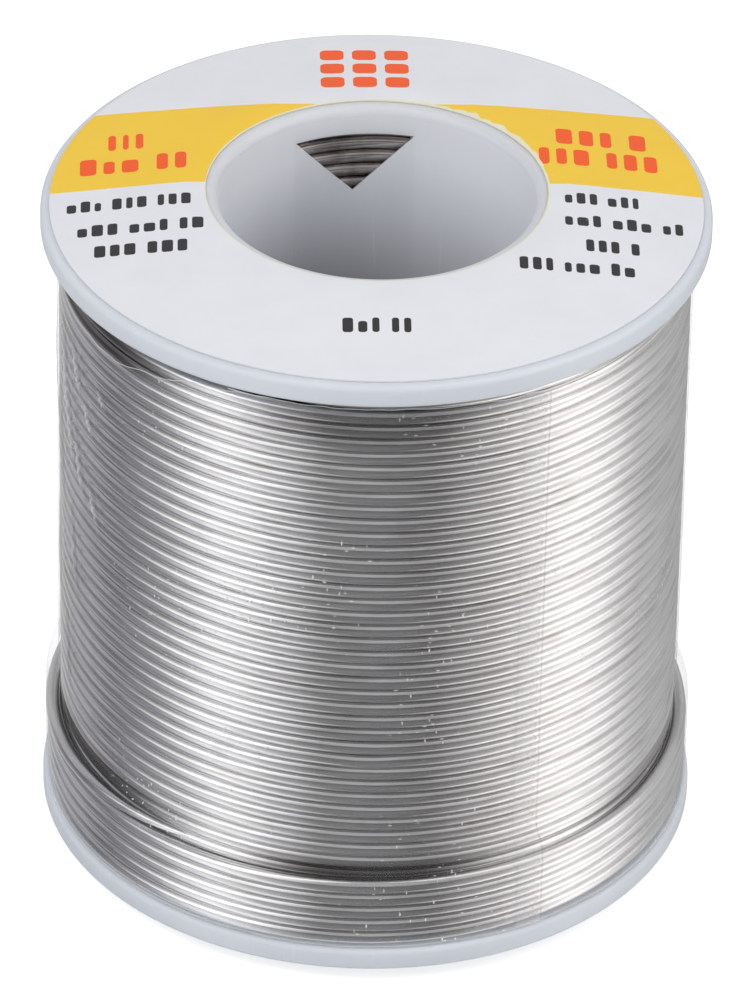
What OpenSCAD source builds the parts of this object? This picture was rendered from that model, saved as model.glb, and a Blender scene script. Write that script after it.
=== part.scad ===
// Spool of flux-cored solder wire: a moulded hub tube with two flanges seated on its ends,
// a paper label, the wound wire and a clear film wrapped round it.
// The axis is Z, and the spool stands with its lower end on Z = 0.

/* [Spool] */
// Height over the two ends of the hub tube
spool_h = 60.3; // [45:0.1:90]
// Diameter of both flanges
flange_d = 55; // [50:0.5:90]
// Diameter of the bore that a stand's spindle goes through
bore_d = 26; // [16:0.5:29]
// Wall thickness of the hub tube
hub_wall = 2; // [1.8:0.1:3]
// Radius of the rounding at both mouths of the bore
mouth_round = 0.8; // [0.3:0.1:0.9]

/* [Flanges] */
// Thickness of a flange where it meets the hub tube
flange_hub_t = 2.5; // [2:0.1:4]
// Thickness of a flange at its rim
flange_rim_t = 2; // [1.4:0.1:3]
// How far the outer face falls back from the hub to the rim
flange_dish = 1.4; // [0.2:0.1:2.5]
// Width of the flat land between the bore's mouth and the sloping face
land_w = 2; // [1:0.1:4]
// Radius of the rounding on the rim's two edges
rim_round = 0.5; // [0.2:0.1:0.6]
// Depth of the step in the hub tube's ends that each flange sits on
seat_step = 0.8; // [0.4:0.1:0.9]
// Clearance between a flange's hole and the hub tube's end
seat_clearance = 0.05; // [0.02:0.01:0.15]

/* [Starter window] */
// Width of the triangular window in the hub wall, along its top edge
window_w = 9.9; // [5:0.1:14]
// Height of the window, from the flange down to its point
window_h = 5.4; // [3:0.1:12]
// Direction of the window, counted from +X towards +Y
window_angle = 99; // [0:1:359]

/* [Wire] */
// Diameter of the wire
wire_d = 1.27; // [0.8:0.01:1.6]
// How far the wire of the last layer lies inside the flanges' rims
rim_margin = 0.4; // [0.4:0.1:4]
// Height of the last layer, which is wound only partly up the spool
last_layer_h = 7.8; // [5:0.2:24]
// Least space between two turns of the outer layer
turn_gap = 0.8; // [0.5:0.05:2]
// Clearance between the outer turns and the layers under them
layer_clearance = 0.3; // [0.3:0.05:0.6]
// Clearance between the winding and the flanges
spool_clearance = 0.3; // [0.1:0.05:0.6]
// Clearance between the innermost layer and the hub tube
hub_clearance = 0.05; // [0.02:0.01:0.3]

/* [Label] */
// Thickness of the label
label_t = 0.1; // [0.05:0.01:0.3]
// Bare border between the label and the flange's rim
label_border = 0.75; // [0.6:0.05:4]
// Bare border between the bore's mouth and the hole in the label
label_hole_border = 0.2; // [0.1:0.1:1.5]
// Thickness of the glue under the label
glue_t = 0.02; // [0.01:0.01:0.05]

/* [Film] */
// Thickness of the clear film
film_t = 0.1; // [0.05:0.01:0.2]
// Clearance between the film and the wire under it
film_clearance = 0.1; // [0.05:0.01:0.15]
// Height over which the film slopes in above the last layer
film_slope_h = 1.4; // [0.5:0.1:4]
// Bare height between the film's upper edge and the upper flange's rim
film_top_gap = 1.4; // [0.3:0.1:6]
// Width of the upright lap where the film's two ends are sealed together
film_lap_w = 2.4; // [1:0.2:12]
// Direction of the lap, counted from +X towards +Y
film_lap_angle = 300; // [0:1:359]

/* [Hidden] */
$fn = 96;

// Segments in a rounded corner of an outline
round_steps = 4;
// Rings of the wire's tube in one turn, and sides of its section
turn_rings = 24;
tube_sides = 6;
// A round wire that lies in the grooves of the layer below rises by this share of its diameter
groove_share = sin(60);

bore_r = bore_d / 2;
mouth_r = bore_r + mouth_round;
hub_r = bore_r + hub_wall;
seat_r = hub_r - seat_step;
land_r = mouth_r + land_w;
flange_r = flange_d / 2;
wire_r = wire_d / 2;

// Radii of the wire's centre line in the full outer layer and in the last layer over it
last_layer_r = flange_r - rim_margin - wire_r;
full_layer_r = last_layer_r - wire_d * groove_share;
core_to_line = wire_r + layer_clearance;

// Heights of the centre line's two ends, and the even rise of the turns between them
line_bottom_z = flange_dish + flange_rim_t + spool_clearance + wire_r;
line_top_z = spool_h - line_bottom_z;
turns = floor((line_top_z - line_bottom_z) / (wire_d + turn_gap));
pitch = (line_top_z - line_bottom_z) / turns;

// The wire climbs onto the last layer in half a turn, which ends at this count of turns
climb_turns = 0.5;
last_turns = floor(last_layer_h / pitch);
climb_end = turns - last_turns;
climb_end_z = line_top_z - pitch * climb_end;
core_step_z = climb_end_z - core_to_line;
film_step_z = climb_end_z + pitch * climb_turns + core_to_line;

function unit(v) = v / norm(v);

function turned(p, angle) = [
    p.x * cos(angle) - p.y * sin(angle),
    p.x * sin(angle) + p.y * cos(angle)
];

// Points of an arc that rounds corner b, between its neighbours a and c
function corner(a, b, c, r) =
    let (
        to_a = unit(a - b),
        to_c = unit(c - b),
        half = acos(to_a * to_c) / 2,
        centre = b + unit(to_a + to_c) * r / sin(half),
        start = b + to_a * r / tan(half) - centre,
        sweep = (180 - 2 * half) * sign(cross(start, b - centre))
    )
    [for (i = [0:round_steps]) centre + turned(start, sweep * i / round_steps)];

// Height of the lower flange's inner face at a radius
function inner_face_z(r) =
    let (rim_z = flange_dish + flange_rim_t)
    flange_hub_t + (rim_z - flange_hub_t) * (r - hub_r) / (flange_r - hub_r);

// Height of the flange's outer face below the spool's end at a radius
function outer_face_z(r) = flange_dish * max(0, r - land_r) / (flange_r - land_r);

// Radius of the wire's centre line after a count of turns from the top
function line_radius(t) =
    let (
        share = min(1, max(0, (t - climb_end) / climb_turns + 1)),
        eased = (1 - cos(180 * share)) / 2
    )
    full_layer_r + (last_layer_r - full_layer_r) * eased;

// Point of the wire's centre line after a count of turns from the top
function line_point(t) =
    let (r = line_radius(t), angle = 360 * t)
    [r * cos(angle), r * sin(angle), line_top_z - pitch * t];

// Direction along the wire at a point of the winding
function line_direction(t) =
    let (step = 0.25 / turn_rings)
    unit(line_point(t + step) - line_point(t - step));

// Centre points of the tube's rings: the turns, with a straight run of one diameter at each end
ring_points = concat(
    [line_point(0) - wire_d * line_direction(0)],
    [for (i = [0:turns * turn_rings]) line_point(i / turn_rings)],
    [line_point(turns) + wire_d * line_direction(turns)]
);
ring_turns = concat([0], [for (i = [0:turns * turn_rings]) i / turn_rings], [turns]);

// Least gap between the wire's surface and its own neighbouring turns
self_gaps = [
    for (i = [0:len(ring_points) - 1])
        for (j = [i + turn_rings / 2:min(i + 2 * turn_rings, len(ring_points) - 1)])
            norm(ring_points[i] - ring_points[j]) - wire_d
];
echo(turns_of_outer_layer = turns, least_gap_of_outer_layer = min(self_gaps));

// A round tube along the winding's centre line, as one closed mesh
module wound_tube() {
    last = len(ring_points) - 1;
    points = [
        for (i = [0:last])
            let (
                along = line_direction(ring_turns[i]),
                angle = 360 * ring_turns[i],
                out = [cos(angle), sin(angle), 0],
                side = unit(cross(along, out)),
                up = cross(side, along)
            )
            for (k = [0:tube_sides - 1])
                ring_points[i]
                    + wire_r * cos(360 * k / tube_sides) * up
                    + wire_r * sin(360 * k / tube_sides) * side
    ];
    walls = [
        for (i = [0:last - 1])
            for (k = [0:tube_sides - 1])
                let (
                    a = i * tube_sides + k,
                    b = i * tube_sides + (k + 1) % tube_sides
                )
                each [[a, b, b + tube_sides], [a, b + tube_sides, a + tube_sides]]
    ];
    start_cap = [for (k = [1:tube_sides - 2]) [0, k + 1, k]];
    end_cap = [
        for (k = [1:tube_sides - 2])
            [last * tube_sides, last * tube_sides + k, last * tube_sides + k + 1]
    ];
    polyhedron(points = points, faces = concat(walls, start_cap, end_cap));
}

// Hub tube: rounded mouths, and a step at each end for a flange
module hub_tube() {
    foot_inner = [bore_r, 0];
    head_inner = [bore_r, spool_h];
    color([0.84, 0.87, 0.92])
    difference() {
        rotate_extrude()
            polygon(concat(
                corner([seat_r, 0], foot_inner, head_inner, mouth_round),
                corner(foot_inner, head_inner, [seat_r, spool_h], mouth_round),
                [
                    [seat_r, spool_h],
                    [seat_r, spool_h - flange_hub_t],
                    [hub_r, spool_h - flange_hub_t],
                    [hub_r, flange_hub_t],
                    [seat_r, flange_hub_t],
                    [seat_r, 0]
                ]
            ));
        starter_window();
    }
}

// Triangular cut through one side of the hub wall, against the upper flange
module starter_window() {
    rotate([0, 0, window_angle])
        translate([0, 0, spool_h - flange_hub_t])
            rotate([90, 0, 90])
                linear_extrude(height = 2 * hub_r)
                    polygon([[-window_w / 2, 0], [0, -window_h], [window_w / 2, 0]]);
}

// A flange that slips over the hub tube's end and rests on its step, outer face down
module flange() {
    hole_r = seat_r + seat_clearance;
    rim_low = [flange_r, flange_dish];
    rim_high = [flange_r, flange_dish + flange_rim_t];
    rotate_extrude()
        polygon(concat(
            [[hole_r, flange_hub_t], [hole_r, 0], [land_r, 0]],
            corner([land_r, 0], rim_low, rim_high, rim_round),
            corner(rim_low, rim_high, [hub_r, flange_hub_t], rim_round),
            [[hub_r, flange_hub_t]]
        ));
}

module bottom_flange() {
    color([0.82, 0.86, 0.91])
        flange();
}

module top_flange() {
    color([0.82, 0.86, 0.91])
        translate([0, 0, spool_h])
            mirror([0, 0, 1])
                flange();
}

// Paper ring glued on the upper flange, down over its sloping face
module top_label() {
    hole_r = mouth_r + label_hole_border;
    edge_r = flange_r - label_border;
    under = spool_h + glue_t;
    color([0.93, 0.93, 0.95])
        rotate_extrude()
            polygon([
                [hole_r, under],
                [land_r, under],
                [edge_r, under - outer_face_z(edge_r)],
                [edge_r, under - outer_face_z(edge_r) + label_t],
                [land_r, under + label_t],
                [hole_r, under + label_t]
            ]);
}

// The layers under the outer one, as one solid ring that fills the spool
module inner_layers() {
    inner_r = hub_r + hub_clearance;
    full_r = full_layer_r - core_to_line;
    last_r = last_layer_r - core_to_line;
    color([0.5, 0.5, 0.52])
        rotate_extrude()
            polygon([
                [inner_r, inner_face_z(inner_r) + spool_clearance],
                [last_r, inner_face_z(last_r) + spool_clearance],
                [last_r, core_step_z],
                [full_r, core_step_z],
                [full_r, spool_h - inner_face_z(full_r) - spool_clearance],
                [inner_r, spool_h - inner_face_z(inner_r) - spool_clearance]
            ]);
}

// The outer layer: one unbroken wire that winds down the spool and climbs onto its last turns
module outer_layer() {
    color([0.74, 0.74, 0.76])
        wound_tube();
}

// Clear film drawn round the winding, with its ends lapped along one upright line
module film_wrap() {
    full_r = full_layer_r + wire_r + film_clearance;
    last_r = last_layer_r + wire_r + film_clearance;
    low_z = flange_dish + flange_rim_t + spool_clearance;
    high_z = spool_h - flange_dish - flange_rim_t - film_top_gap;
    lap_out = film_t / 2;
    color([0.9, 0.95, 1, 0.3])
        union() {
            rotate_extrude()
                film_section(full_r, last_r, low_z, high_z, film_t);
            intersection() {
                rotate_extrude()
                    film_section(full_r + lap_out, last_r + lap_out, low_z, high_z, film_t);
                rotate([0, 0, film_lap_angle])
                    translate([0, -film_lap_w / 2, 0])
                        cube([flange_r, film_lap_w, spool_h]);
            }
        }
}

// Section through one thickness of film, from its inner radii
module film_section(full_r, last_r, low_z, high_z, thick) {
    slope_z = film_step_z + film_slope_h;
    polygon([
        [last_r, low_z],
        [last_r + thick, low_z],
        [last_r + thick, film_step_z],
        [full_r + thick, slope_z],
        [full_r + thick, high_z],
        [full_r, high_z],
        [full_r, slope_z],
        [last_r, film_step_z]
    ]);
}

hub_tube();
top_flange();
bottom_flange();
top_label();
inner_layers();
outer_layer();
film_wrap();
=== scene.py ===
import cmath
import math
import random

import bmesh
import bpy
from mathutils import Matrix, Vector, noise
from mathutils.geometry import delaunay_2d_cdt


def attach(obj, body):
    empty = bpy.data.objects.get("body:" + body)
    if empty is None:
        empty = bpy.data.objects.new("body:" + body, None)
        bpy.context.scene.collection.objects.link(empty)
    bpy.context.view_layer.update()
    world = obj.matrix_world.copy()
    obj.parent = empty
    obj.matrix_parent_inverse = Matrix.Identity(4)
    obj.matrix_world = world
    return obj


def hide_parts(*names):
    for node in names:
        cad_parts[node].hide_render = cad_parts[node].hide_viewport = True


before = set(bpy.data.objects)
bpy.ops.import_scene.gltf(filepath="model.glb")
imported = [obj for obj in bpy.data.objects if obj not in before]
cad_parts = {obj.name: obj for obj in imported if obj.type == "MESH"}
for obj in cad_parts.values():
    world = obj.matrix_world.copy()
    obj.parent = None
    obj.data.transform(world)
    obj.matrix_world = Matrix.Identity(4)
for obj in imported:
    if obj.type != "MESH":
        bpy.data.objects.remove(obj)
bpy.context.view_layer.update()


# The camera: a long lens about 0.73 m from the spool, which looks down on it by about 34 degrees
# and is rolled by one degree.
camera_place = (0, -0.5892, 0.4249)
camera_pitch = math.radians(33.84)
camera_roll = math.radians(1.15)
level_right = Vector((1, 0, 0))
ahead = Vector((0, math.cos(camera_pitch), -math.sin(camera_pitch)))
level_up = level_right.cross(ahead)
camera_right = level_right * math.cos(camera_roll) + level_up * math.sin(camera_roll)
camera_up = level_up * math.cos(camera_roll) - level_right * math.sin(camera_roll)
camera_data = bpy.data.cameras.new("camera")
camera_data.lens = 305.4
camera_data.shift_x = 0.0067
camera = bpy.data.objects.new("camera", camera_data)
camera.matrix_world = (
    Matrix.Translation(camera_place)
    @ Matrix((camera_right, camera_up, -ahead)).transposed().to_4x4()
)
bpy.context.scene.collection.objects.link(camera)
bpy.context.scene.camera = camera


# Hub tube: one moulding in milky polystyrene, with rounded mouths, a step at each end for a flange,
# and a three-cornered window near its upper end, through which the wire is started.
# The window's lower faces slope down and outwards, so that the side mould draws free.
mm = 0.001
bore_r = 13
hub_r = 15
seat_r = 14.2
spool_h = 60.3
flange_hub_t = 2.5
mouth_round = 0.8
step_round = 0.12
window_w = 9.9
window_h = 5.4
window_angle = 99
window_slope = 36


def rounded(corners, steps=6):
    """A closed outline in which each corner (radius, height, rounding) is turned into an arc."""
    outline = []
    for i, (r, z, rounding) in enumerate(corners):
        here = complex(r, z)
        back = complex(*corners[i - 1][:2]) - here
        on = complex(*corners[(i + 1) % len(corners)][:2]) - here
        if rounding == 0:
            outline.append(here)
            continue
        back /= abs(back)
        on /= abs(on)
        half = abs(cmath.phase(on / back)) / 2
        centre = here + (back + on) / abs(back + on) * rounding / math.sin(half)
        start = here + back * rounding / math.tan(half) - centre
        sweep = cmath.phase((here + on * rounding / math.tan(half) - centre) / start)
        outline += [centre + start * cmath.exp(1j * sweep * k / steps) for k in range(steps + 1)]
    return [(p.real, p.imag) for p in outline]


def spin(outline, segments=256):
    """A ring: a closed outline of (radius, height) points turned about the spool's axis."""
    shape = bmesh.new()
    rings = []
    for s in range(segments):
        angle = 2 * math.pi * s / segments
        across = (math.cos(angle) * mm, math.sin(angle) * mm)
        rings.append([shape.verts.new((r * across[0], r * across[1], z * mm)) for r, z in outline])
    for a, b in zip(rings, rings[1:] + rings[:1]):
        for k in range(len(outline)):
            j = (k + 1) % len(outline)
            shape.faces.new((a[k], b[k], b[j], a[j]))
    bmesh.ops.recalc_face_normals(shape, faces=shape.faces)
    return shape


def as_object(name, shape, sharp_from=35):
    """The finished mesh as an object, smooth but for edges sharper than an angle in degrees."""
    data = bpy.data.meshes.new(name)
    shape.to_mesh(data)
    shape.free()
    data.shade_smooth()
    data.set_sharp_from_angle(angle=math.radians(sharp_from))
    made = bpy.data.objects.new(name, data)
    bpy.context.scene.collection.objects.link(made)
    return made


def fit(made, finishes, node):
    """Gives a piece its finishes and sets it in the place of its CAD node."""
    for finish in finishes:
        made.data.materials.append(finish)
    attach(made, "root")
    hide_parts(node)


def put(tree, kind, values=None, **settings):
    """A shader node, its settings, and its sockets set or linked by name or number."""
    made = tree.nodes.new("ShaderNode" + kind)
    for key, value in settings.items():
        setattr(made, key, value)
    for key, value in (values or {}).items():
        if isinstance(value, bpy.types.NodeSocket):
            tree.links.new(value, made.inputs[key])
        else:
            made.inputs[key].default_value = value
    return made


def finish_of(name, sockets):
    """A material with one Principled shader. Returns it, its node tree and the shader."""
    material = bpy.data.materials.new(name)
    material.use_nodes = True
    shader = material.node_tree.nodes["Principled BSDF"]
    for key, value in sockets.items():
        shader.inputs[key].default_value = value
    return material, material.node_tree, shader


def cloudy(tree, where, scale, detail, rough=0.5):
    """Fractal noise, from 0 to 1, at a count of features per metre."""
    return put(
        tree, "TexNoise", {"Vector": where, "Scale": scale, "Detail": detail, "Roughness": rough}
    ).outputs["Fac"]


def graded(tree, factor, stops):
    """A colour ramp over stops of (place, colour or grey)."""
    ramp = put(tree, "ValToRGB", {"Fac": factor})
    elements = ramp.color_ramp.elements
    while len(elements) < len(stops):
        elements.new(1)
    for element, (place, tone) in zip(elements, stops):
        element.position = place
        element.color = (tone, tone, tone, 1) if isinstance(tone, (int, float)) else (*tone, 1)
    return ramp.outputs["Color"]


def maths(tree, a, b, how="ADD", clamp=False):
    """Two values added, or put together in another way."""
    return put(tree, "Math", {0: a, 1: b}, operation=how, use_clamp=clamp).outputs[0]


def blend_of(tree, factor, a, b, how="MIX"):
    """A mix of two colours."""
    return put(
        tree, "Mix", {0: factor, 6: a, 7: b}, data_type="RGBA", blend_type=how
    ).outputs[2]


def bumped(tree, height, strength, depth, over=None):
    """A normal bumped by a height, to a depth in metres, over another bump."""
    values = {"Height": height, "Strength": strength, "Distance": depth}
    if over is not None:
        values["Normal"] = over
    return put(tree, "Bump", values).outputs[0]


def milky_plastic(name, denser, clearer, painted_show_through=None):
    """Milky polystyrene in two tones: cloudy inside, finely scuffed, with a satin mould finish.

    What shows through the wall from behind is painted in as shade, a ramp over heights in sixteenths
    of a metre.
    """
    material, tree, shader = finish_of(
        name,
        {
            "IOR": 1.52,
            "Subsurface Weight": 0.35,
            "Subsurface Radius": (0.9, 1.0, 1.15),
            "Subsurface Scale": 0.0025,
        },
    )
    where = put(tree, "TexCoord").outputs["Object"]
    flow = cloudy(tree, where, 55, 4)
    grain = cloudy(tree, where, 2600, 2)
    along_draw = {"Vector": where, "Scale": (1, 1, 0.12), "Rotation": (0.4, 0.7, 0)}
    scratches = cloudy(tree, put(tree, "Mapping", along_draw).outputs[0], 900, 5, 0.7)
    scuffs = graded(tree, scratches, ((0.60, 0.0), (0.72, 1.0)))
    body = graded(tree, flow, ((0.3, denser), (0.7, clearer)))
    if painted_show_through:
        height = put(tree, "SeparateXYZ", {0: where}).outputs[2]
        shade_by_height = graded(tree, maths(tree, height, 16.0, "MULTIPLY"), painted_show_through)
        body = blend_of(tree, 1.0, body, shade_by_height, "MULTIPLY")
    light_scuffs = maths(tree, scuffs, 0.35, "MULTIPLY")
    colour = blend_of(tree, light_scuffs, body, (0.82, 0.84, 0.87, 1))
    tree.links.new(colour, shader.inputs["Base Color"])
    worn = maths(tree, maths(tree, scuffs, 0.2, "MULTIPLY"), 0.3)
    tree.links.new(worn, shader.inputs["Roughness"])
    fine = bumped(tree, grain, 0.12, 0.00004)
    tree.links.new(bumped(tree, flow, 0.25, 0.0003, fine), shader.inputs["Normal"])
    return material


def window_cutter():
    """A bar with a pointed underside, turned down by the window's slope and cut off at the flange."""
    corner_x = math.sqrt(bore_r**2 - (window_w / 2) ** 2)
    slope = math.radians(window_slope)
    depth = (window_h - (bore_r - corner_x) * math.tan(slope)) * math.cos(slope)
    half = window_w / 2
    section = ((-half, hub_r), (-half, 0), (0, -depth), (half, 0), (half, hub_r))
    shape = bmesh.new()
    ends = [[shape.verts.new((x, y, z)) for y, z in section] for x in (-corner_x, corner_x)]
    shape.faces.new(ends[0])
    shape.faces.new(reversed(ends[1]))
    for k in range(len(section)):
        j = (k + 1) % len(section)
        shape.faces.new((ends[0][k], ends[1][k], ends[1][j], ends[0][j]))
    shape.transform(
        Matrix.Rotation(math.radians(window_angle), 4, "Z")
        @ Matrix.Translation((corner_x, 0, head_z))
        @ Matrix.Rotation(slope, 4, "Y")
    )
    kept = bmesh.ops.bisect_plane(
        shape,
        geom=shape.verts[:] + shape.edges[:] + shape.faces[:],
        plane_co=(0, 0, head_z),
        plane_no=(0, 0, 1),
        clear_outer=True,
    )
    cut_edges = [e for e in kept["geom_cut"] if isinstance(e, bmesh.types.BMEdge)]
    bmesh.ops.edgeloop_fill(shape, edges=cut_edges)
    bmesh.ops.recalc_face_normals(shape, faces=shape.faces)
    shape.transform(Matrix.Scale(mm, 4))
    return as_object("window_cutter", shape)


def with_changes(made):
    """The object with its modifiers worked into its mesh."""
    depsgraph = bpy.context.evaluated_depsgraph_get()
    data = bpy.data.meshes.new_from_object(made.evaluated_get(depsgraph))
    made.modifiers.clear()
    made.data = data
    return made


head_z = spool_h - flange_hub_t
hub_tube = as_object(
    "hub_tube_moulding",
    spin(
        rounded(
            (
                (bore_r, 0, mouth_round),
                (bore_r, spool_h, mouth_round),
                (seat_r, spool_h, step_round),
                (seat_r, head_z, 0),
                (hub_r, head_z, step_round),
                (hub_r, flange_hub_t, step_round),
                (seat_r, flange_hub_t, 0),
                (seat_r, 0, step_round),
            )
        )
    ),
)
cutter = window_cutter()
cut = hub_tube.modifiers.new("window", "BOOLEAN")
cut.operation = "DIFFERENCE"
cut.solver = "EXACT"
cut.object = cutter
with_changes(hub_tube)
bpy.data.objects.remove(cutter)
hub_tube.data.shade_smooth()
hub_tube.data.set_sharp_from_angle(angle=math.radians(35))
tube_tones = ((0.855, 0.885, 0.95), (0.90, 0.93, 0.985))
# painted shade by height: darker low down, where the dark wire lies behind the wall, and at the
# mouth; unchanged where the white flange lies behind
tube_painted_shade = (
    (0.66, (0.58, 0.555, 0.545)), (0.80, (0.85, 0.84, 0.835)), (0.90, 1.0), (0.95, 1.0),
    (0.962, (0.76, 0.76, 0.765)),
)
tube_plastic = milky_plastic("tube_polystyrene", *tube_tones, tube_painted_shade)
fit(hub_tube, [tube_plastic], "hub_tube")


# Flanges: two like mouldings in the same polystyrene, each slipped over the end of the tube and
# resting on its step. The outer face falls back from a flat land to a rim with rounded edges.
flange_hole_r = 14.25
flange_r = 27.5
flange_rim_t = 2
flange_dish = 1.4
land_r = 15.8
rim_round = 0.5
flange_outline = rounded(
    (
        (flange_hole_r, flange_hub_t, 0.1),
        (flange_hole_r, 0, 0.15),
        (land_r, 0, 0),
        (flange_r, flange_dish, rim_round),
        (flange_r, flange_dish + flange_rim_t, rim_round),
        (hub_r, flange_hub_t, 0),
    )
)
flange_tones = ((0.658, 0.695, 0.770), (0.693, 0.730, 0.798))
flange_plastic = milky_plastic("flange_polystyrene", *flange_tones)
lower_flange = as_object("lower_flange_moulding", spin(flange_outline, 384))
fit(lower_flange, [flange_plastic], "bottom_flange")
upper_outline = [(r, spool_h - z) for r, z in reversed(flange_outline)]
upper_flange = as_object("upper_flange_moulding", spin(upper_outline, 384))
fit(upper_flange, [flange_plastic], "top_flange")


# Label: a die-cut ring of coated paper, printed with a yellow band and short lines of print, and
# glued down over the upper flange. Its hole was cut a little rough and shows the cream paper.
label_hole_r = 14.0
label_edge_r = 26.75
label_under = spool_h + 0.02
label_t = 0.1
cream_most_r = 15
tear_angle = 48
tear_width = 22
longest_block = 6
print_turn = math.radians(1.6)
band_y = (1.0, 13.4)
# each line of print: its left and right ends, its height on the label, and the height of its blocks
orange_lines = (
    (-22, -17.9, 8.3, 2.6),
    (-24.3, -15, 4.6, 2.6),
    (14.9, 22.9, 8.8, 2.6),
    (13.4, 24.6, 5.4, 2.6),
)
black_lines = (
    (-25.3, -14.3, -1.5, 1.65),
    (-24.4, -13.8, -5.2, 1.65),
    (-23.0, -14.5, -8.3, 1.65),
    (15.3, 22.2, -1.1, 1.65),
    (15.2, 25.2, -4.4, 1.65),
    (16.8, 21.5, -7.9, 1.65),
    (11.3, 21.0, -11.0, 1.7),
    (-3.1, 2.8, -19.8, 1.8),
)
mark_squares = [(-3.4 + 2.7 * i, 17.2 + 2.7 * j, 2.0) for i in range(3) for j in range(3)]


def label_height(r):
    """Height of the flange's outer face under the label."""
    return label_under - flange_dish * max(0, r - land_r) / (flange_r - land_r)


def bar(x0, x1, y, height, rounding):
    """The outline of one printed block with rounded corners."""
    low, high = y - height / 2, y + height / 2
    corners = ((x0, low), (x1, low), (x1, high), (x0, high))
    return rounded([(*corner, rounding) for corner in corners], 3)


def print_blocks(x0, x1, y, height, dice):
    """A line of print as small blocks in groups, some of them lower than the others."""
    cells = []
    while sum(cells) < (x1 - x0) / height:
        cells.append(dice.choice((0.62, 0.72, 0.80)))
        if len(cells) % 4 == 3:
            cells.append(0.38)
    stretch = (x1 - x0) / sum(cells)
    blocks = []
    x = x0
    for cell in cells:
        tall = height * dice.choice((1.0, 1.0, 1.0, 0.76))
        if cell > 0.5:
            end = x + cell * stretch - 0.22 * height
            blocks.append(bar(x, end, y - (height - tall) / 2, tall, height * 0.14))
        x += cell * stretch
    return blocks


def turned(points, angle):
    """Points of (x, y) turned about the spool's axis."""
    c, s = math.cos(angle), math.sin(angle)
    return [Vector((x * c - y * s, x * s + y * c)) for x, y in points]


dice = random.Random(7)
paper, yellow, orange, black, cream = range(5)
printed = []
for lines, ink in ((orange_lines, orange), (black_lines, black)):
    for x0, x1, y, height in lines:
        for block in print_blocks(x0, x1, y, height, dice):
            printed.append((turned(block, print_turn), ink))
for x, y, side in mark_squares:
    printed.append((turned(bar(x - side / 2, x + side / 2, y, side, 0.5), print_turn), orange))

points, edges = [], []


def add_loop(loop, closed=True):
    """Adds a chain of points to the label's plan, with the edges between them."""
    first = len(points)
    points.extend(loop)
    count = len(loop)
    edges.extend((first + k, first + (k + 1) % count) for k in range(count if closed else count - 1))


def circle(r, count, ragged=0.0):
    """Points round the axis, at a radius that may be ragged."""
    ring = []
    for k in range(count):
        angle = 2 * math.pi * k / count
        c, s = math.cos(angle), math.sin(angle)
        ring.append(Vector((c, s)) * (r + ragged * noise.noise(Vector((c * 9, s * 9, 3)))))
    return ring


def torn_circle(r, count):
    """The cream paper's border round the hole: a thread wide, and torn wider at one place."""
    ring = []
    for k in range(count):
        angle = 2 * math.pi * k / count
        c, s = math.cos(angle), math.sin(angle)
        torn = math.exp(-(((k * 360 / count - tear_angle) / tear_width) ** 2))
        rough = noise.noise(Vector((c * 16, s * 16, 3)))
        back = max(0.0, 0.3 + 0.7 * math.sin(angle + 0.5))
        width = 0.06 + back * (0.16 + 0.1 * rough) + torn * (0.30 + 0.55 * rough)
        ring.append(Vector((c, s)) * (r + width))
    return ring


add_loop(circle(label_hole_r, 256, 0.04))
fringe = torn_circle(label_hole_r, 420)
add_loop(fringe)
add_loop(circle(label_edge_r, 384))
# rings of points between, which let the label bend down with the flange
for r in (15.2, land_r, 17, 18.4, 19.8, 21.2, 22.6, 24, 25.4):
    add_loop(circle(r, 160))
for y in band_y:
    half = math.sqrt(label_edge_r**2 - y**2)
    inner = math.sqrt(label_hole_r**2 - y**2)
    for a, b in ((-half, -inner), (inner, half)):
        add_loop(turned([(a + (b - a) * k / 24, y) for k in range(25)], print_turn), False)
for loop, tone in printed:
    add_loop(loop)
flat, _, faces, _, _, _ = delaunay_2d_cdt(points, edges, [], 0, 1e-5)


def inside(p, loop):
    """Whether a point lies within a closed loop."""
    within = False
    for a, b in zip(loop, loop[1:] + loop[:1]):
        if (a.y > p.y) != (b.y > p.y) and p.x < (b.x - a.x) * (p.y - a.y) / (b.y - a.y) + a.x:
            within = not within
    return within


def print_at(p):
    """Which print covers a point of the label."""
    if p.length < cream_most_r and inside(p, fringe):
        return cream
    for loop, tone in printed:
        if (p - loop[0]).length < longest_block and inside(p, loop):
            return tone
    level = turned([(p.x, p.y)], -print_turn)[0].y
    return yellow if band_y[0] < level < band_y[1] else paper


label = bmesh.new()
upper = []
for p in flat:
    level = label_height(p.length) + label_t
    if p.length > land_r + 1:
        level += 0.03 * (1 + noise.noise(Vector((p.x * 0.25, p.y * 0.25, 1))))
    upper.append(label.verts.new((p.x * mm, p.y * mm, level * mm)))
for face in faces:
    middle = sum((flat[k] for k in face), Vector((0, 0))) / len(face)
    if not label_hole_r - 0.02 < middle.length < label_edge_r:
        continue
    made = label.faces.new([upper[k] for k in face])
    made.material_index = print_at(middle)
bmesh.ops.delete(label, geom=[v for v in label.verts if not v.link_faces], context="VERTS")
rims = [e for e in label.edges if e.is_boundary]
skirt = bmesh.ops.extrude_edge_only(label, edges=rims)["geom"]
for vert in skirt:
    if isinstance(vert, bmesh.types.BMVert):
        vert.co.z = label_height(math.hypot(vert.co.x, vert.co.y) / mm) * mm
for face in skirt:
    if isinstance(face, bmesh.types.BMFace):
        from_axis = face.calc_center_median().xy.length / mm
        face.material_index = cream if from_axis < cream_most_r else paper
bmesh.ops.recalc_face_normals(label, faces=label.faces)


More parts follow.
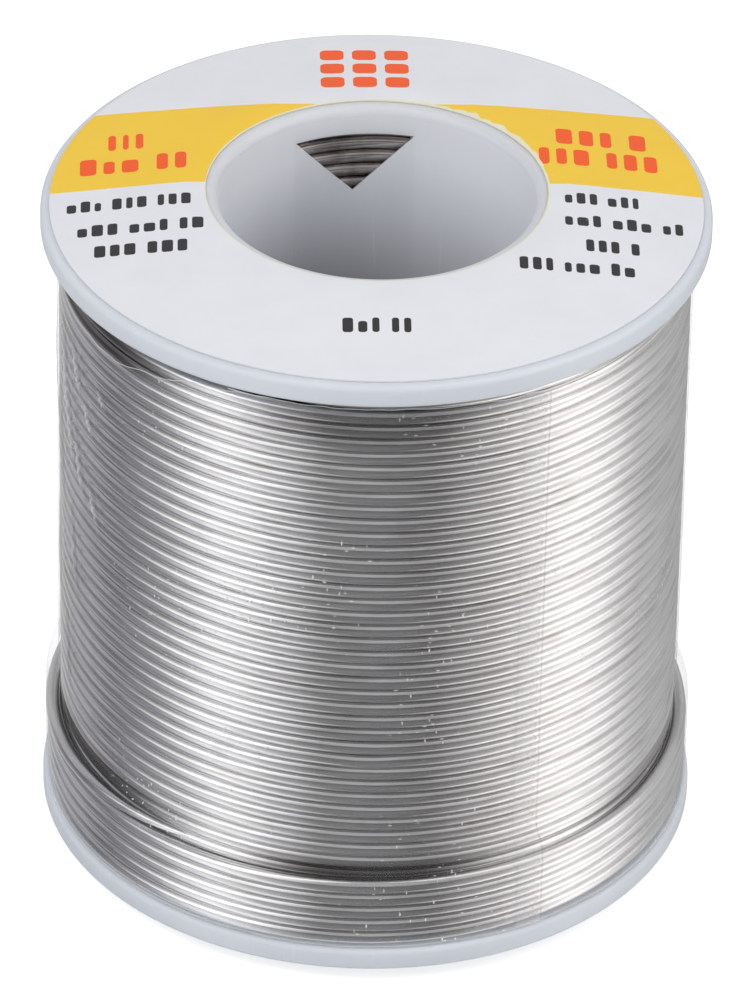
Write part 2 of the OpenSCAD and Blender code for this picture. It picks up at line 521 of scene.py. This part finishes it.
def printed_paper(name, ink, fleck):
    """Coated paper under one ink: fibre, faint mottle and small worn flecks of another colour."""
    material, tree, shader = finish_of(name, {"IOR": 1.45})
    where = put(tree, "TexCoord").outputs["Object"]
    mottle = cloudy(tree, where, 260, 4)
    fibre = cloudy(tree, where, 5200, 3, 0.6)
    flecks = graded(tree, cloudy(tree, where, 1500, 4, 0.65), ((0.68, 0.0), (0.72, 1.0)))
    shade = graded(tree, mottle, ((0.3, tuple(0.965 * c for c in ink)), (0.7, ink)))
    worn = blend_of(tree, maths(tree, flecks, 0.5, "MULTIPLY"), shade, (*fleck, 1))
    tree.links.new(worn, shader.inputs["Base Color"])
    tree.links.new(graded(tree, mottle, ((0.3, 0.36), (0.7, 0.46))), shader.inputs["Roughness"])
    tree.links.new(bumped(tree, fibre, 0.15, 0.00003), shader.inputs["Normal"])
    return material


ring_label = as_object("ring_label", label, 60)
inks = [
    printed_paper("label_white_paper", (0.80, 0.81, 0.85), (0.72, 0.72, 0.75)),
    printed_paper("label_yellow_ink", (0.94, 0.615, 0.05), (0.92, 0.78, 0.36)),
    printed_paper("label_orange_ink", (0.96, 0.115, 0.015), (0.95, 0.32, 0.10)),
    printed_paper("label_black_ink", (0.03, 0.03, 0.035), (0.30, 0.30, 0.32)),
    printed_paper("label_cream_edge", (0.82, 0.79, 0.60), (0.85, 0.84, 0.78)),
]
fit(ring_label, inks, "top_label")


# Solder wire, the layers under the outer one: the same length of tin-lead wire, wound turn by turn
# from the hub outwards. The first layer lies on the hub and shows, tarnished, through the window.
wire_r = 0.635
turn_pitch = 1.286
full_layer_r = 25.365
last_layer_r = 26.465
layer_nesting = 0.87
core_gap = 0.4
core_drop = 0.25
pinched_steps = 8


def inner_face(r):
    """Height of the lower flange's inner face at a radius."""
    rim_z = flange_dish + flange_rim_t
    return flange_hub_t + (rim_z - flange_hub_t) * (r - hub_r) / (flange_r - hub_r)


def wind(shape, line, sides, shade_at=None):
    """A round wire along a line of (angle, radius, height) places, its last end pinched off.

    Its points carry painted shade: in the grooves between turns, and where the function given for it
    says.
    """
    dark = shape.verts.layers.float.get("dark") or shape.verts.layers.float.new("dark")
    rings = []
    for i, (angle, r, z) in enumerate(line):
        c, s = math.cos(angle), math.sin(angle)
        to_end = (len(line) - 1 - i) / pinched_steps
        pinched = wire_r * min(1.0, 0.2 + 0.8 * to_end) ** 0.7
        ring = []
        for k in range(sides):
            turn = 2 * math.pi * k / sides
            out = r + pinched * math.cos(turn)
            level = z + pinched * math.sin(turn)
            spot = shape.verts.new((out * c * mm, out * s * mm, level * mm))
            # painted shade in the grooves, where each turn meets the turns above and below it
            groove_shade = 0.4 * max(0.0, abs(math.sin(turn)) - 0.9) / 0.1
            painted_shade = shade_at(math.degrees(angle) % 360, out, level) if shade_at else 0.0
            spot[dark] = max(groove_shade, painted_shade)
            ring.append(spot)
        rings.append(ring)
    for a, b in zip(rings, rings[1:]):
        for k in range(sides):
            j = (k + 1) % sides
            shape.faces.new((a[k], b[k], b[j], a[j]))
    shape.faces.new(reversed(rings[0]))
    shape.faces.new(rings[-1])


def layer_line(r, top_z, bottom_z, steps, start, loose):
    """The places of a layer that is wound down the spool, a little uneven from turn to turn."""
    count = round((top_z - bottom_z) / turn_pitch * steps)
    line = []
    for i in range(count + 1):
        angle = start + 2 * math.pi * i / steps
        seed = Vector((math.cos(angle) * 1.3, math.sin(angle) * 1.3, i / steps * 0.55))
        z = top_z - (top_z - bottom_z) * i / count
        lift = loose * noise.noise(seed + Vector((5, 0, 0)))
        line.append((angle, r + loose * noise.noise(seed * 1.7), z + lift))
    return line


first_layer_r = hub_r + 0.05 + wire_r + 0.02
inner_wire = bmesh.new()
first_top = spool_h - inner_face(first_layer_r) - wire_r - 0.05
first_layer = layer_line(first_layer_r, first_top, spool_h - first_top, 96, 0, 0.02)
wind(inner_wire, first_layer, 12)

# the layers between are one ring, ridged outside like turns that lie side by side
core_top = spool_h - inner_face(20) - core_gap
core_bottom = spool_h - core_top
core_r = first_layer_r + wire_r * 0.5
under_r = full_layer_r - 2 * wire_r * layer_nesting - core_drop
ridge_count = 40
ridge_steps = 8
core_outline = [(core_r, core_top), (core_r, core_bottom)]
for k in range(ridge_count * ridge_steps + 1):
    off_crest = 2 * abs(k / ridge_steps % 1 - 0.5)
    z = core_bottom + (core_top - core_bottom) * k / (ridge_count * ridge_steps)
    core_outline.append((under_r + wire_r * math.sqrt(1 - off_crest**2), z))
core = spin(core_outline, 128)
core_data = bpy.data.meshes.new("core")
core.to_mesh(core_data)
core.free()
inner_wire.from_mesh(core_data)


def round_the_axis(tree, along, across):
    """A place for textures drawn out along the wire: features per radian, and per metre across it."""
    place = put(tree, "TexCoord").outputs["Object"]
    parts = put(tree, "SeparateXYZ", {0: place})
    plan = put(tree, "CombineXYZ", {0: parts.outputs[0], 1: parts.outputs[1], 2: 0.0})
    facing = put(tree, "VectorMath", {0: plan.outputs[0]}, operation="NORMALIZE")
    out = put(tree, "VectorMath", {0: plan.outputs[0]}, operation="LENGTH")
    spread = put(tree, "VectorMath", {0: facing.outputs[0], "Scale": along}, operation="SCALE")
    flat_parts = put(tree, "SeparateXYZ", {0: spread.outputs[0]})
    height = maths(tree, parts.outputs[2], across, "MULTIPLY")
    depth = maths(tree, out.outputs["Value"], across * 0.7, "MULTIPLY")
    place = {0: flat_parts.outputs[0], 1: flat_parts.outputs[1], 2: maths(tree, height, depth)}
    return put(tree, "CombineXYZ", place).outputs[0]


def painted(tree, layer):
    """A value that the mesh carries at each of its points."""
    return put(tree, "Attribute", attribute_name=layer).outputs["Fac"]


def solder(name, bright, dull, tarnish):
    """Drawn tin-lead wire: fine lines along it, dull patches and turns of differing sheen, and
    painted shade where its points are marked dark.
    """
    material, tree, shader = finish_of(name, {"Metallic": 1.0})
    lines = cloudy(tree, round_the_axis(tree, 4, 3600), 1, 2)
    turns = cloudy(tree, round_the_axis(tree, 1.6, 620), 1, 2)
    patches = cloudy(tree, put(tree, "TexCoord").outputs["Object"], 210, 5, 0.6)
    oxide = graded(tree, patches, ((tarnish[0], 0.0), (tarnish[1], 1.0)))
    sheen = graded(tree, turns, ((0.3, tuple(0.92 * c for c in bright)), (0.7, bright)))
    fine = graded(tree, lines, ((0.30, (0.78, 0.77, 0.76)), (0.52, (1.0, 1.0, 1.0))))
    metal = blend_of(tree, 0.85, sheen, fine, "MULTIPLY")
    aged = blend_of(tree, oxide, metal, (*dull, 1))
    # painted shade: points marked dark go nearly black
    painted_shade = blend_of(tree, painted(tree, "dark"), aged, (0.10, 0.085, 0.075, 1))
    tree.links.new(painted_shade, shader.inputs["Base Color"])
    rough = maths(tree, maths(tree, turns, 0.10, "MULTIPLY"), 0.07)
    rougher = maths(tree, maths(tree, oxide, 0.18, "MULTIPLY"), rough)
    tree.links.new(rougher, shader.inputs["Roughness"])
    drawn = bumped(tree, lines, 0.06, 0.00001)
    tree.links.new(bumped(tree, patches, 0.12, 0.0002, drawn), shader.inputs["Normal"])
    return material


inner_windings = as_object("inner_windings", inner_wire)
dull_solder = solder("tarnished_solder", (0.72, 0.66, 0.63), (0.16, 0.13, 0.12), (0.45, 0.75))
fit(inner_windings, [dull_solder], "inner_layers")


# Solder wire, the outer turns: bright drawn wire that comes up from the layer below at the upper
# flange, winds down turn against turn, and climbs onto itself at the lower flange for a last layer
# of five turns, where its free end is tucked in against the full layer.
outer_wire = bmesh.new()
outer_top = 56.2
outer_bottom = inner_face(full_layer_r) + wire_r + 0.1
last_turns = 5.05
steps = 112
free_end = math.radians(238)
rising_steps = 20
climb_steps = steps // 3
tucked_steps = 12
kink_angle = 269.5
kink_z = 21.6
first_turn_z = 55.7
dark_left_z = 53.0
dark_front_z = 51.0
layer_turns = round((outer_top - outer_bottom) / turn_pitch * steps) / steps
start = free_end - 2 * math.pi * (layer_turns + climb_steps / steps + last_turns)
down = layer_line(full_layer_r, outer_top, outer_bottom, steps, start, 0.035)
kinked = []
for i, (angle, r, z) in enumerate(down):
    along = math.degrees(angle) % 360
    r -= 0.7 * max(0.0, 1 - i / rising_steps) ** 2
    near = math.exp(-(((along - kink_angle) / 5) ** 2)) * math.exp(-(((z - kink_z) / 0.9) ** 2))
    kinked.append((angle, r + 0.05 * near, z - 0.10 * near))
last_bottom = inner_face(last_layer_r) + wire_r + 0.05
up = []
end_angle, end_r, end_z = kinked[-1]
for i in range(1, climb_steps + 1):
    share = (1 - math.cos(math.pi * i / climb_steps)) / 2
    up.append(
        (
            end_angle + 2 * math.pi * i / steps,
            end_r + (last_layer_r - end_r) * share,
            end_z + (last_bottom - end_z) * share,
        )
    )
climb_end = up[-1][0]
for i in range(1, int(last_turns * steps) + 1):
    angle = climb_end + 2 * math.pi * i / steps
    seed = Vector((math.cos(angle) * 1.3, math.sin(angle) * 1.3, 40 + i / steps * 0.55))
    left = last_turns * steps - i
    tuck = max(0.0, 1 - left / tucked_steps)
    loose_end = math.exp(-(((left - 10) / 9) ** 2))
    up.append(
        (
            angle,
            last_layer_r + 0.03 * noise.noise(seed) + 0.3 * loose_end - 1.0 * tuck**2,
            last_bottom
            + turn_pitch * 0.995 * i / steps
            + 0.03 * noise.noise(seed + Vector((5, 0, 0)))
            - 0.3 * tuck**2,
        )
    )


def round_about(degrees, middle, width):
    """1 at a bearing, falling away to nothing on both sides of it."""
    return math.exp(-(((degrees - middle) / width) ** 4))


def painted_shade_at(degrees, r, z):
    """Painted shade at a place: the crevice over the last layer and the turns under the upper flange;
    the bare turns at the upper left are darkened too.
    """
    turns_up = last_turns - ((math.degrees(free_end) - degrees) % 360) / 360
    over_step = (z - last_bottom - turn_pitch * turns_up - 1.0) / 0.95
    left = round_about(degrees, 205, 26)
    front = 0.95 * round_about(degrees, 271, 20)
    right = 0.6 * round_about(degrees, 337, 20)
    crevice = 0.0
    if r < full_layer_r + wire_r + 0.1:
        crevice = (left + front + right) * math.exp(-(over_step**4))
    top_left = 0.8 * round_about(degrees, 206, 24) * max(0.0, min(1.0, (z - dark_left_z) / 0.6))
    top_front = 0.45 * round_about(degrees, 268, 20) * max(0.0, min(1.0, (z - dark_front_z) / 2.5))
    first = 0.2 if z > first_turn_z else 1.0
    return min(1.0, crevice + top_left + top_front * first)


wind(outer_wire, kinked + up, 16, painted_shade_at)
wound_wire = as_object("wound_wire", outer_wire)
bright_solder = solder("bright_solder", (0.92, 0.915, 0.91), (0.66, 0.66, 0.68), (0.60, 0.9))
fit(wound_wire, [bright_solder], "outer_layer")


# Clear film: one thin sheet of polyolefin drawn tight round the winding, lapped and sealed on itself
# along an upright line, and cut by hand at its upper edge. It bridges the last layer's step.
film_start = math.radians(297.8)
film_sweep = math.radians(365.0)
film_columns = 560
film_rows = 190
film_full_r = 26.12
film_last_r = 27.2
film_most_r = 27.46
film_low = 3.6
lap_reach = math.radians(9)
seam_share = 0.2 / 365
# the direction and the height of the cut upper edge, and of the last layer's top under the film
upper_edge = (
    (0, 55.2), (40, 55.0), (90, 55.3), (140, 54.8), (170, 54.4), (193.5, 54.0), (204.6, 53.6),
    (217, 53.4), (227, 54.3), (238.2, 55.5), (248.1, 55.95), (262.6, 55.95), (285, 55.9),
    (300, 55.7), (316, 54.7), (335, 55.1), (360, 55.2),
)
step_edge = (
    (0, 11.3), (90, 11.8), (160, 12.3), (205, 12.2), (225, 11.4), (245, 10.7), (275, 10.7),
    (300, 10.7), (330, 11.3), (360, 11.3),
)
# the direction, height, length, lean, width and rise of each crease, in degrees and millimetres
creases = (
    (187, 46, 13, 95, 0.30, 0.18),
    (192, 40, 14, 98, 0.30, 0.24),
    (190, 28, 13, 94, 0.30, 0.18),
    (196, 48, 9, 102, 0.26, 0.30),
    (199, 43, 11, 105, 0.28, 0.36),
    (203, 49, 6, 112, 0.26, 0.34),
    (204, 40, 8, 108, 0.26, 0.32),
    (208, 45.5, 5, 118, 0.26, 0.32),
    (210, 37.5, 5, 114, 0.28, 0.30),
    (213, 48.6, 3.4, 124, 0.28, 0.28),
    (201, 31, 10, 100, 0.24, 0.26),
    (197, 20, 9, 96, 0.24, 0.24),
    (222, 41, 3, 128, 0.22, 0.18),
    (270, 20.8, 3.4, 12, 0.26, 0.16),
    (346, 30, 12, -86, 0.24, 0.18),
    (20, 40, 9, 76, 0.26, 0.26),
    (48, 28, 9, -72, 0.26, 0.24),
    (75, 46, 7, 68, 0.26, 0.24),
    (110, 33, 10, -76, 0.26, 0.26),
    (140, 22, 9, 72, 0.26, 0.24),
    (163, 41, 10, 80, 0.28, 0.28),
)


def at_angle(knots, degrees):
    """The value at an angle, eased between knots of (angle, value)."""
    for (a, low), (b, high) in zip(knots, knots[1:]):
        if a <= degrees <= b:
            share = (degrees - a) / (b - a)
            return low + (high - low) * share * share * (3 - 2 * share)


def crease_at(degrees, z):
    """How far the creases lift the film at a place, and how much painted shade falls beside them."""
    rise, flank_shade = 0.0, 0.0
    for direction, height, length, lean, width, lift in creases:
        across = ((degrees - direction + 180) % 360 - 180) * math.pi / 180 * film_full_r
        if abs(across) > length or abs(z - height) > length:
            continue
        c, s = math.cos(math.radians(lean)), math.sin(math.radians(lean))
        along = across * c + (z - height) * s
        off = -across * s + (z - height) * c + 0.12 * along * along / length
        taper = max(0.0, 1 - (2 * along / length) ** 2)
        slim = width * (0.4 + 0.6 * taper)
        rise += lift * math.exp(-((off / slim) ** 2)) * taper
        flank_shade = max(flank_shade, math.exp(-(((off + 1.5 * slim) / (0.8 * slim)) ** 2)) * taper)
    return rise, flank_shade


film = bmesh.new()
seal = film.verts.layers.float.new("seal")
fold_highlight = film.verts.layers.float.new("fold_highlight")
shade = film.verts.layers.float.new("shade")
columns = []
between = [i / film_columns for i in range(1, film_columns)]
shares = [0, seam_share] + between + [1 - seam_share, 1]
for share_along in shares:
    angle = film_start + film_sweep * share_along
    degrees = math.degrees(angle) % 360
    c, s = math.cos(angle), math.sin(angle)
    high = at_angle(upper_edge, degrees) + 0.12 * noise.noise(Vector((c * 14, s * 14, 7)))
    low = film_low + 0.1 * noise.noise(Vector((c * 10, s * 10, 2)))
    step_z = at_angle(step_edge, degrees)
    left = film_sweep * (1 - share_along) / lap_reach
    lap = 0.1 * max(0.0, min(1.0, 2 - 1.2 * left))
    column = []
    for j in range(film_rows + 2):
        z = low + (high - low) * j / film_rows if j < film_rows else high + 0.1 * (j - film_rows)
        share = min(1.0, max(0.0, (z - step_z) / 2.2))
        eased = share * share * (3 - 2 * share)
        r = film_last_r + (film_full_r - film_last_r) * eased
        swell = 0.5 + 0.5 * noise.noise(Vector((c * 3.1, s * 3.1, z * 0.05)))
        ripple = abs(noise.noise(Vector((c * 11 + z * 0.1, s * 11, z * 0.22))))
        crease, flank_shade = crease_at(degrees, z)
        r += lap + 0.05 * swell + 0.05 * ripple * eased + crease * (0.3 + 0.7 * eased)
        r = min(r, film_most_r)
        spot = film.verts.new((r * c * mm, r * s * mm, z * mm))
        spot[seal] = {0: 0.3, 1: 0.8}.get(share_along, 0.0)
        # painted highlight along the cut upper edge and the foot of the film, and on the crests of
        # the creases
        edge_highlight = max(1.6 if j > film_rows else 0.0, 0.8 - 0.25 * j)
        spot[fold_highlight] = max(edge_highlight, min(1.0, max(0.0, crease - 0.12) * 6))
        # painted shade beside the creases, on the left side of the winding only
        spot[shade] = flank_shade if math.cos(angle) < -0.5 else 0.0
        column.append(spot)
    columns.append(column)
for a, b in zip(columns, columns[1:]):
    for j in range(film_rows + 1):
        film.faces.new((a[j], b[j], b[j + 1], a[j + 1]))


def clear_film():
    """Clear film: glossy, hazy at a slant, with painted highlights on its folds and cut edges,
    painted shade beside the folds, dark seal lines, dust and wrinkles.
    """
    material, tree, shader = finish_of("clear_film", {"IOR": 1.5})
    where = put(tree, "TexCoord").outputs["Object"]
    haze = cloudy(tree, where, 90, 4)
    fine = cloudy(tree, where, 620, 4, 0.6)
    specks = []
    for drawn, turn in (((1, 1, 0.4), (0.3, 0.5, 0.2)), ((0.4, 0.9, 1.2), (0.9, 0.2, 0.5))):
        hairs = put(tree, "Mapping", {"Vector": where, "Scale": drawn, "Rotation": turn})
        cells = put(tree, "TexVoronoi", {"Vector": hairs.outputs[0], "Scale": 1500.0})
        specks.append(cells.outputs["Distance"])
    clusters = graded(tree, cloudy(tree, where, 110, 2), ((0.48, 0.0), (0.62, 1.0)))
    nearest = maths(tree, specks[0], specks[1], "MINIMUM")
    dots = graded(tree, nearest, ((0.07, 1.0), (0.14, 0.0)))
    dust = maths(tree, dots, clusters, "MULTIPLY")
    slant = put(tree, "LayerWeight", {"Blend": 0.35}).outputs["Facing"]
    veil = graded(tree, slant, ((0.0, 0.05), (0.45, 0.065), (0.75, 0.15), (1.0, 0.5)))
    patch = graded(tree, haze, ((0.4, 0.0), (0.75, 0.04)))
    # painted highlight: folds and cut edges turn white and hazy
    painted_fold_highlight = maths(tree, painted(tree, "fold_highlight"), 0.5, "MULTIPLY")
    cover = maths(tree, maths(tree, veil, patch), painted_fold_highlight)
    with_dust = maths(tree, cover, maths(tree, dust, 0.6, "MULTIPLY"), clamp=True)
    dust_and_highlight = maths(tree, dust, painted_fold_highlight, "MAXIMUM", True)
    colour = blend_of(tree, dust_and_highlight, (0.88, 0.89, 0.91, 1), (0.97, 0.97, 0.97, 1))
    tree.links.new(colour, shader.inputs["Base Color"])
    tree.links.new(graded(tree, dust_and_highlight, ((0.0, 0.6), (0.4, 0.0))), shader.inputs["Metallic"])
    tree.links.new(graded(tree, haze, ((0.3, 0.08), (0.7, 0.18))), shader.inputs["Roughness"])
    wrinkled = bumped(tree, fine, 0.3, 0.0001)
    tree.links.new(bumped(tree, haze, 0.15, 0.0005, wrinkled), shader.inputs["Normal"])
    dotted = graded(tree, cloudy(tree, where, 2400, 1), ((0.42, 0.35), (0.55, 1.0)))
    line = maths(tree, painted(tree, "seal"), dotted, "MULTIPLY", True)
    # painted shade beside the creases tints the clear film dark, like the seal lines
    flank_shade = maths(tree, painted(tree, "shade"), 0.36, "MULTIPLY")
    seal_and_flank_shade = maths(tree, line, flank_shade, "MAXIMUM")
    tint = blend_of(tree, seal_and_flank_shade, (0.985, 0.985, 0.99, 1), (0.28, 0.28, 0.32, 1))
    clear = put(tree, "BsdfTransparent", {"Color": tint})
    mixed = put(tree, "MixShader", {0: with_dust, 1: clear.outputs[0], 2: shader.outputs[0]})
    tree.links.new(mixed.outputs[0], tree.nodes["Material Output"].inputs["Surface"])
    return material


film_sheet = as_object("film_sheet", film, 80)
fit(film_sheet, [clear_film()], "film_wrap")


# Floor: a plain white table, which shows white but for the spool's own soft shadow on it. The bright
# metal doesn't mirror it.
floor_shape = bmesh.new()
bmesh.ops.create_grid(floor_shape, x_segments=8, y_segments=8, size=3)
floor = as_object("white_table", floor_shape)
table_white = {"Base Color": (0.80, 0.80, 0.80, 1), "Roughness": 0.8, "Emission Color": (1, 1, 1, 1)}
floor_finish, floor_tree, floor_shader = finish_of("white_table_top", table_white)
seen = put(floor_tree, "LightPath").outputs["Is Camera Ray"]
glow = maths(floor_tree, seen, 0.6, "MULTIPLY")
floor_tree.links.new(glow, floor_shader.inputs["Emission Strength"])
floor.data.materials.append(floor_finish)
floor.visible_glossy = False


# Light: a round tent of cloth with two bright panels, left and right of the camera, and three soft
# lamps that the metal doesn't mirror. The cloth is lit another way above a height that rises
# towards the camera, and the tent goes on below the table's top.
world = bpy.data.worlds.new("tent")
world.use_nodes = True
bpy.context.scene.world = world
tent = world.node_tree
sky = tent.nodes["Background"]
direction = put(tent, "TexCoord").outputs["Generated"]
toward = put(tent, "SeparateXYZ", {0: direction})
front = maths(tent, toward.outputs[1], -1.0, "MULTIPLY")
bearing = maths(tent, toward.outputs[0], front, "ARCTAN2")
share_round = maths(tent, maths(tent, bearing, 1 / (2 * math.pi), "MULTIPLY"), 0.5)


def round_the_tent(levels):
    """Brightness round the tent, from (bearing in degrees, level); 0 is where the camera stands."""
    return graded(tent, share_round, [(0.5 + degrees / 360, level) for degrees, level in levels])


low_wall = round_the_tent(
    (
        (-180, 0.34), (-152, 0.42), (-126, (0.23, 0.23, 0.245)), (-99, (0.12, 0.12, 0.132)),
        (-78, (0.235, 0.238, 0.25)), (-66, (0.52, 0.525, 0.54)), (-54, (0.82, 0.825, 0.84)),
        (-44, (0.68, 0.685, 0.695)), (-34, (0.395, 0.395, 0.405)), (-17, 0.15),
        (5, (0.13, 0.13, 0.134)), (24, 0.105), (47, (0.34, 0.33, 0.325)), (73, (0.98, 0.955, 0.93)),
        (90, (0.84, 0.82, 0.81)), (104, (0.46, 0.455, 0.45)), (128, 0.34), (157, 0.28), (180, 0.34),
    )
)
high_wall = round_the_tent(
    (
        (-180, 0.34), (-150, 0.34), (-114, (0.28, 0.28, 0.30)), (-96, (0.165, 0.165, 0.18)),
        (-79, 0.72), (-68, 1.0), (-52, 1.0), (-40, 0.84), (-31, 0.58), (-19, 0.28), (6, 0.31),
        (27, 0.25), (51, (0.50, 0.49, 0.485)), (64, (0.80, 0.785, 0.77)), (82, (1.0, 0.98, 0.96)),
        (92, 0.92), (99, 0.68), (113, 0.34), (133, 0.33), (180, 0.34),
    )
)
high_bright = put(tent, "VectorMath", {0: high_wall, "Scale": 1.45}, operation="SCALE").outputs[0]
upward = toward.outputs[2]
tilted = maths(tent, upward, maths(tent, front, -0.25, "MULTIPLY"))
is_high = graded(tent, tilted, ((0.18, 0.0), (0.30, 1.0)))
from_below = maths(tent, maths(tent, upward, 0.5, "MULTIPLY"), 0.5)
deeper = graded(tent, from_below, ((0.2, 1.0), (0.35, 0.92), (0.5, 0.78), (0.68, 0.6)))
low_part = blend_of(tent, 1.0, low_wall, deeper, "MULTIPLY")
low_bright = put(tent, "VectorMath", {0: low_part, "Scale": 1.5}, operation="SCALE").outputs[0]
shown = blend_of(tent, is_high, low_bright, high_bright)
rays = put(tent, "LightPath")
straight = maths(tent, rays.outputs["Is Camera Ray"], rays.outputs["Is Transmission Ray"])
tent.links.new(blend_of(tent, straight, shown, (1.0, 1.0, 1.0, 1.0)), sky.inputs["Color"])


def soft_lamp(name, place, power):
    """A square soft lamp aimed at the middle of the spool, which nothing mirrors."""
    data = bpy.data.lights.new(name, "AREA")
    data.shape = "SQUARE"
    data.size = 0.45
    data.energy = power
    lamp = bpy.data.objects.new(name, data)
    lamp.location = place
    lamp.rotation_euler = (Vector((0, 0, 0.03)) - Vector(place)).to_track_quat("-Z", "Y").to_euler()
    lamp.visible_camera = False
    lamp.visible_glossy = False
    bpy.context.scene.collection.objects.link(lamp)


soft_lamp("front_lamp", (0, -0.85, 0.36), 1.2)
soft_lamp("left_lamp", (-0.45, -0.34, 0.85), 2.25)
soft_lamp("right_lamp", (0.80, 0.05, 0.55), 1.4)

bpy.context.scene.view_settings.view_transform = "Standard"

bpy.context.view_layer.update()
